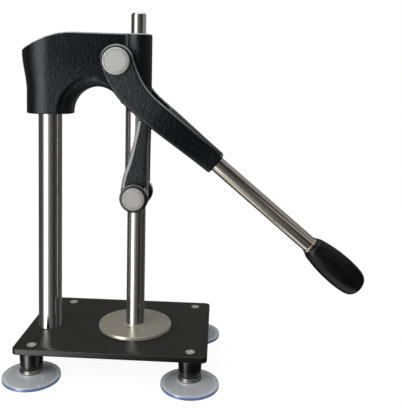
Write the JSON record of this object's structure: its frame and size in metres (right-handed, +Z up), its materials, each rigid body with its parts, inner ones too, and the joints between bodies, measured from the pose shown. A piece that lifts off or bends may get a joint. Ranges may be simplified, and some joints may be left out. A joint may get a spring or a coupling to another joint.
{
  "type": "lever citrus juice press",
  "caption": "Bench-top lever press for citrus: a forked lever arm drives a round press disc down its shaft over a base plate on suction feet.",
  "frame": {"origin": "On the table, under the middle of the whole press's box at rest.", "axes": "+X from the column towards the press shaft and the handle, +Y to the back, +Z up."},
  "size_m": [0.3792, 0.182, 0.383],
  "materials": {
    "cast_black": "satin powder coat with a fine grain",
    "plate_black": "semi-gloss",
    "bright_steel": "polished",
    "satin_steel": "brushed",
    "cap_metal": "satin",
    "gloss_black": "gloss",
    "clear_vinyl": "smooth, slightly see-through",
    "bronze": "plain"
  },
  "bodies": {
    "frame": {"base_plate": "plate_black", "foot_screw_front_left": "bright_steel", "foot_stem_front_left": "gloss_black", "foot_collar_front_left": "bright_steel", "suction_cup_front_left": "clear_vinyl", "foot_screw_front_right": "bright_steel", "foot_stem_front_right": "gloss_black", "foot_collar_front_right": "bright_steel", "suction_cup_front_right": "clear_vinyl", "foot_screw_rear_right": "bright_steel", "foot_stem_rear_right": "gloss_black", "foot_collar_rear_right": "bright_steel", "suction_cup_rear_right": "clear_vinyl", "foot_screw_rear_left": "bright_steel", "foot_stem_rear_left": "gloss_black", "foot_collar_rear_left": "bright_steel", "suction_cup_rear_left": "clear_vinyl", "column": "bright_steel", "column_plug": "satin_steel", "column_washer": "satin_steel", "column_bolt": "satin_steel", "head": "cast_black", "rod_bush": "bronze", "head_set_screw": "satin_steel", "lever_pin": "cap_metal", "lever_pin_cap": "cap_metal"},
    "lever": {"lever_arm": "cast_black", "handle_tube": "bright_steel", "handle_ring": "bright_steel", "handle_screw": "satin_steel", "grip": "gloss_black"},
    "shaft": {"press_rod": "bright_steel", "slide_tube": "bright_steel", "press_disc": "satin_steel", "disc_screw": "satin_steel", "cross_pin": "cap_metal", "cross_pin_cap": "cap_metal"},
    "link": {"link_front": "cast_black", "link_rear": "cast_black", "link_pin_front": "satin_steel", "link_pin_rear": "satin_steel"}
  },
  "joints": [
    {"name": "lever_hinge", "type": "hinge", "parent": "frame", "child": "lever", "pos_m": [-0.07788, -0.01, 0.3307], "axis": [0, -1, 0], "range_deg": [0, 60]},
    {"name": "shaft_slide", "type": "slide", "parent": "frame", "child": "shaft", "axis": [0, 0, 1], "range_m": [0, 0.05907]},
    {"name": "link_hinge", "type": "hinge", "parent": "shaft", "child": "link", "pos_m": [-0.05858, -0.01, 0.187], "axis": [0, 1, 0], "range_deg": [0, 20.33]}
  ],
  "couplings": [
    {"joint": "shaft_slide", "follows": "lever_hinge", "m_per_rad": 0.056387},
    {"joint": "link_hinge", "follows": "lever_hinge", "ratio": 0.33849}
  ]
}
